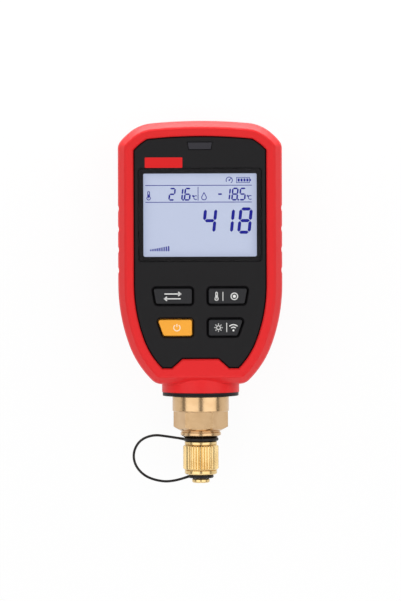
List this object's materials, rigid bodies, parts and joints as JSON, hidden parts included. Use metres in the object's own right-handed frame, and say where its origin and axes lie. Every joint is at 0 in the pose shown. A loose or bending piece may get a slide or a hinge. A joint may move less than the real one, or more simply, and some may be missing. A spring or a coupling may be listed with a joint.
{
  "type": "wireless vacuum gauge",
  "caption": "Handheld wireless vacuum gauge in a red rubber boot, with a wide display, front keys and a tethered knurled cap on its brass flare port.",
  "frame": {"origin": "bottom centre of the bounding box, on the surface that the gauge lies on", "axes": "+Z out of the display, +Y from the port towards the crown of the body, +X to the right of the display"},
  "size_m": [0.065, 0.1444, 0.035],
  "materials": {
    "red_elastomer": "satin",
    "black_plastic": "matte",
    "key_plastic": "matte",
    "orange_plastic": "matte",
    "clear_window": "polished",
    "display_glass": "polished",
    "smoked_lens": "polished",
    "diffuser": "satin",
    "circuit_board": "satin",
    "shield_can": "satin",
    "spring_plate": "satin",
    "black_steel": "satin",
    "ribbon_film": "satin",
    "brass": "machined",
    "sintered_bronze": "matte",
    "key_rubber": "matte",
    "black_rubber": "satin",
    "tether_rubber": "satin",
    "cell_sleeve": "satin"
  },
  "bodies": {
    "root": {"protective_boot": "red_elastomer", "front_housing": "black_plastic", "back_housing": "black_plastic", "battery_door": "black_plastic", "battery_door_screw": "black_steel", "battery_contacts_top": "spring_plate", "battery_contacts_bottom": "spring_plate", "case_screws": "black_steel", "board_screws": "black_steel", "display_window": "clear_window", "lcd_panel": "display_glass", "light_guide": "diffuser", "display_frame": "diffuser", "main_board": "circuit_board", "radio_module": "shield_can", "controller_chip": "black_plastic", "buzzer": "black_plastic", "indicator_led": "diffuser", "indicator_lens": "smoked_lens", "keypad_mat": "key_rubber", "key_domes": "spring_plate", "port_fitting": "brass", "lock_nut": "brass", "neck_gasket": "black_rubber", "sensor_header": "shield_can", "header_seal": "black_rubber", "sensor_filter": "sintered_bronze", "sensor_board": "circuit_board", "sensor_ribbon": "ribbon_film", "tether_neck_ring": "tether_rubber", "tether_cord": "tether_rubber", "battery_cell_1": "cell_sleeve", "battery_cell_2": "cell_sleeve", "battery_cell_3": "cell_sleeve"},
    "cap_carrier": {"tether_cap_ring": "tether_rubber"},
    "cap": {"flare_cap": "brass", "cap_seal": "black_rubber"},
    "unit_button": {"unit_key": "key_plastic"},
    "record_button": {"record_key": "key_plastic"},
    "power_button": {"power_key": "orange_plastic"},
    "light_button": {"light_key": "key_plastic"}
  },
  "joints": [
    {"name": "unit_press", "type": "slide", "parent": "root", "child": "unit_button", "axis": [0, 0, -1], "range_m": [0, 0.0006], "stiffness_N_per_m": 1500},
    {"name": "record_press", "type": "slide", "parent": "root", "child": "record_button", "axis": [0, 0, -1], "range_m": [0, 0.0006], "stiffness_N_per_m": 1500},
    {"name": "power_press", "type": "slide", "parent": "root", "child": "power_button", "axis": [0, 0, -1], "range_m": [0, 0.0006], "stiffness_N_per_m": 1500},
    {"name": "light_press", "type": "slide", "parent": "root", "child": "light_button", "axis": [0, 0, -1], "range_m": [0, 0.0006], "stiffness_N_per_m": 1500},
    {"name": "cap_travel", "type": "slide", "parent": "root", "child": "cap_carrier", "axis": [0, -1, 0], "range_m": [0, 0.0114], "deforming": ["tether_cord"]},
    {"name": "cap_turn", "type": "hinge", "parent": "cap_carrier", "child": "cap", "pos_m": [0, -0.062, 0.0175], "axis": [0, -1, 0], "range_deg": [0, 3240]}
  ],
  "couplings": [
    {"joint": "cap_turn", "follows": "cap_travel", "rad_per_m": 4947.4}
  ]
}
